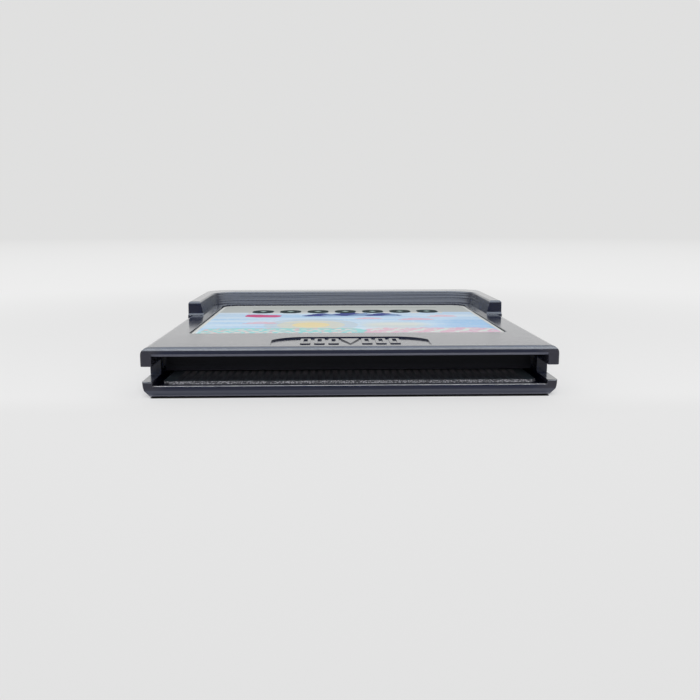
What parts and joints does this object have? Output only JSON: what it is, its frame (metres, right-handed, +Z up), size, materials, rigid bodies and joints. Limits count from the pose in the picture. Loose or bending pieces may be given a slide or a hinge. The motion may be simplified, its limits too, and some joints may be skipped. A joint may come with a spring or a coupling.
{
  "type": "handheld game cartridge",
  "caption": "Flat two-shell plug-in cartridge with an open mouth over a card-edge circuit board, notched side walls, a recessed label and a raised grip rim round its rear half.",
  "frame": {"origin": "the middle of the case's underside, on the surface that it lies on", "axes": "+Z is up through the label face, -Y is the mouth with the card edge, +Y is the rear with the grip rim, +X is to the right seen from the mouth"},
  "size_m": [0.066, 0.068, 0.0111],
  "materials": {
    "shell_plastic": "fine satin moulded black plastic with a slight blue cast",
    "printed_label": "glossy printed label in pale blue, pink, teal and yellow",
    "board_laminate": "glass-fibre laminate with a green solder mask, bare and pale on its cut edges",
    "contact_gold": "thin gold plating",
    "chip_epoxy": "matt moulded epoxy",
    "tinned_metal": "dull tin plating",
    "capacitor_resin": "moulded yellow resin",
    "capacitor_ceramic": "tan fired ceramic",
    "resistor_glaze": "black glaze",
    "screw_steel": "nickel-plated steel"
  },
  "bodies": {
    "root": {"label_shell": "shell_plastic", "base_shell": "shell_plastic", "label": "printed_label", "circuit_board": "board_laminate", "edge_contacts": "contact_gold", "rom_chip": "chip_epoxy", "rom_leads": "tinned_metal", "tantalum_capacitor": "capacitor_resin", "ceramic_capacitor_1": "capacitor_ceramic", "ceramic_capacitor_2": "capacitor_ceramic", "chip_resistor_1": "resistor_glaze", "chip_resistor_2": "resistor_glaze", "closing_screw": "screw_steel"}
  },
  "joints": []
}
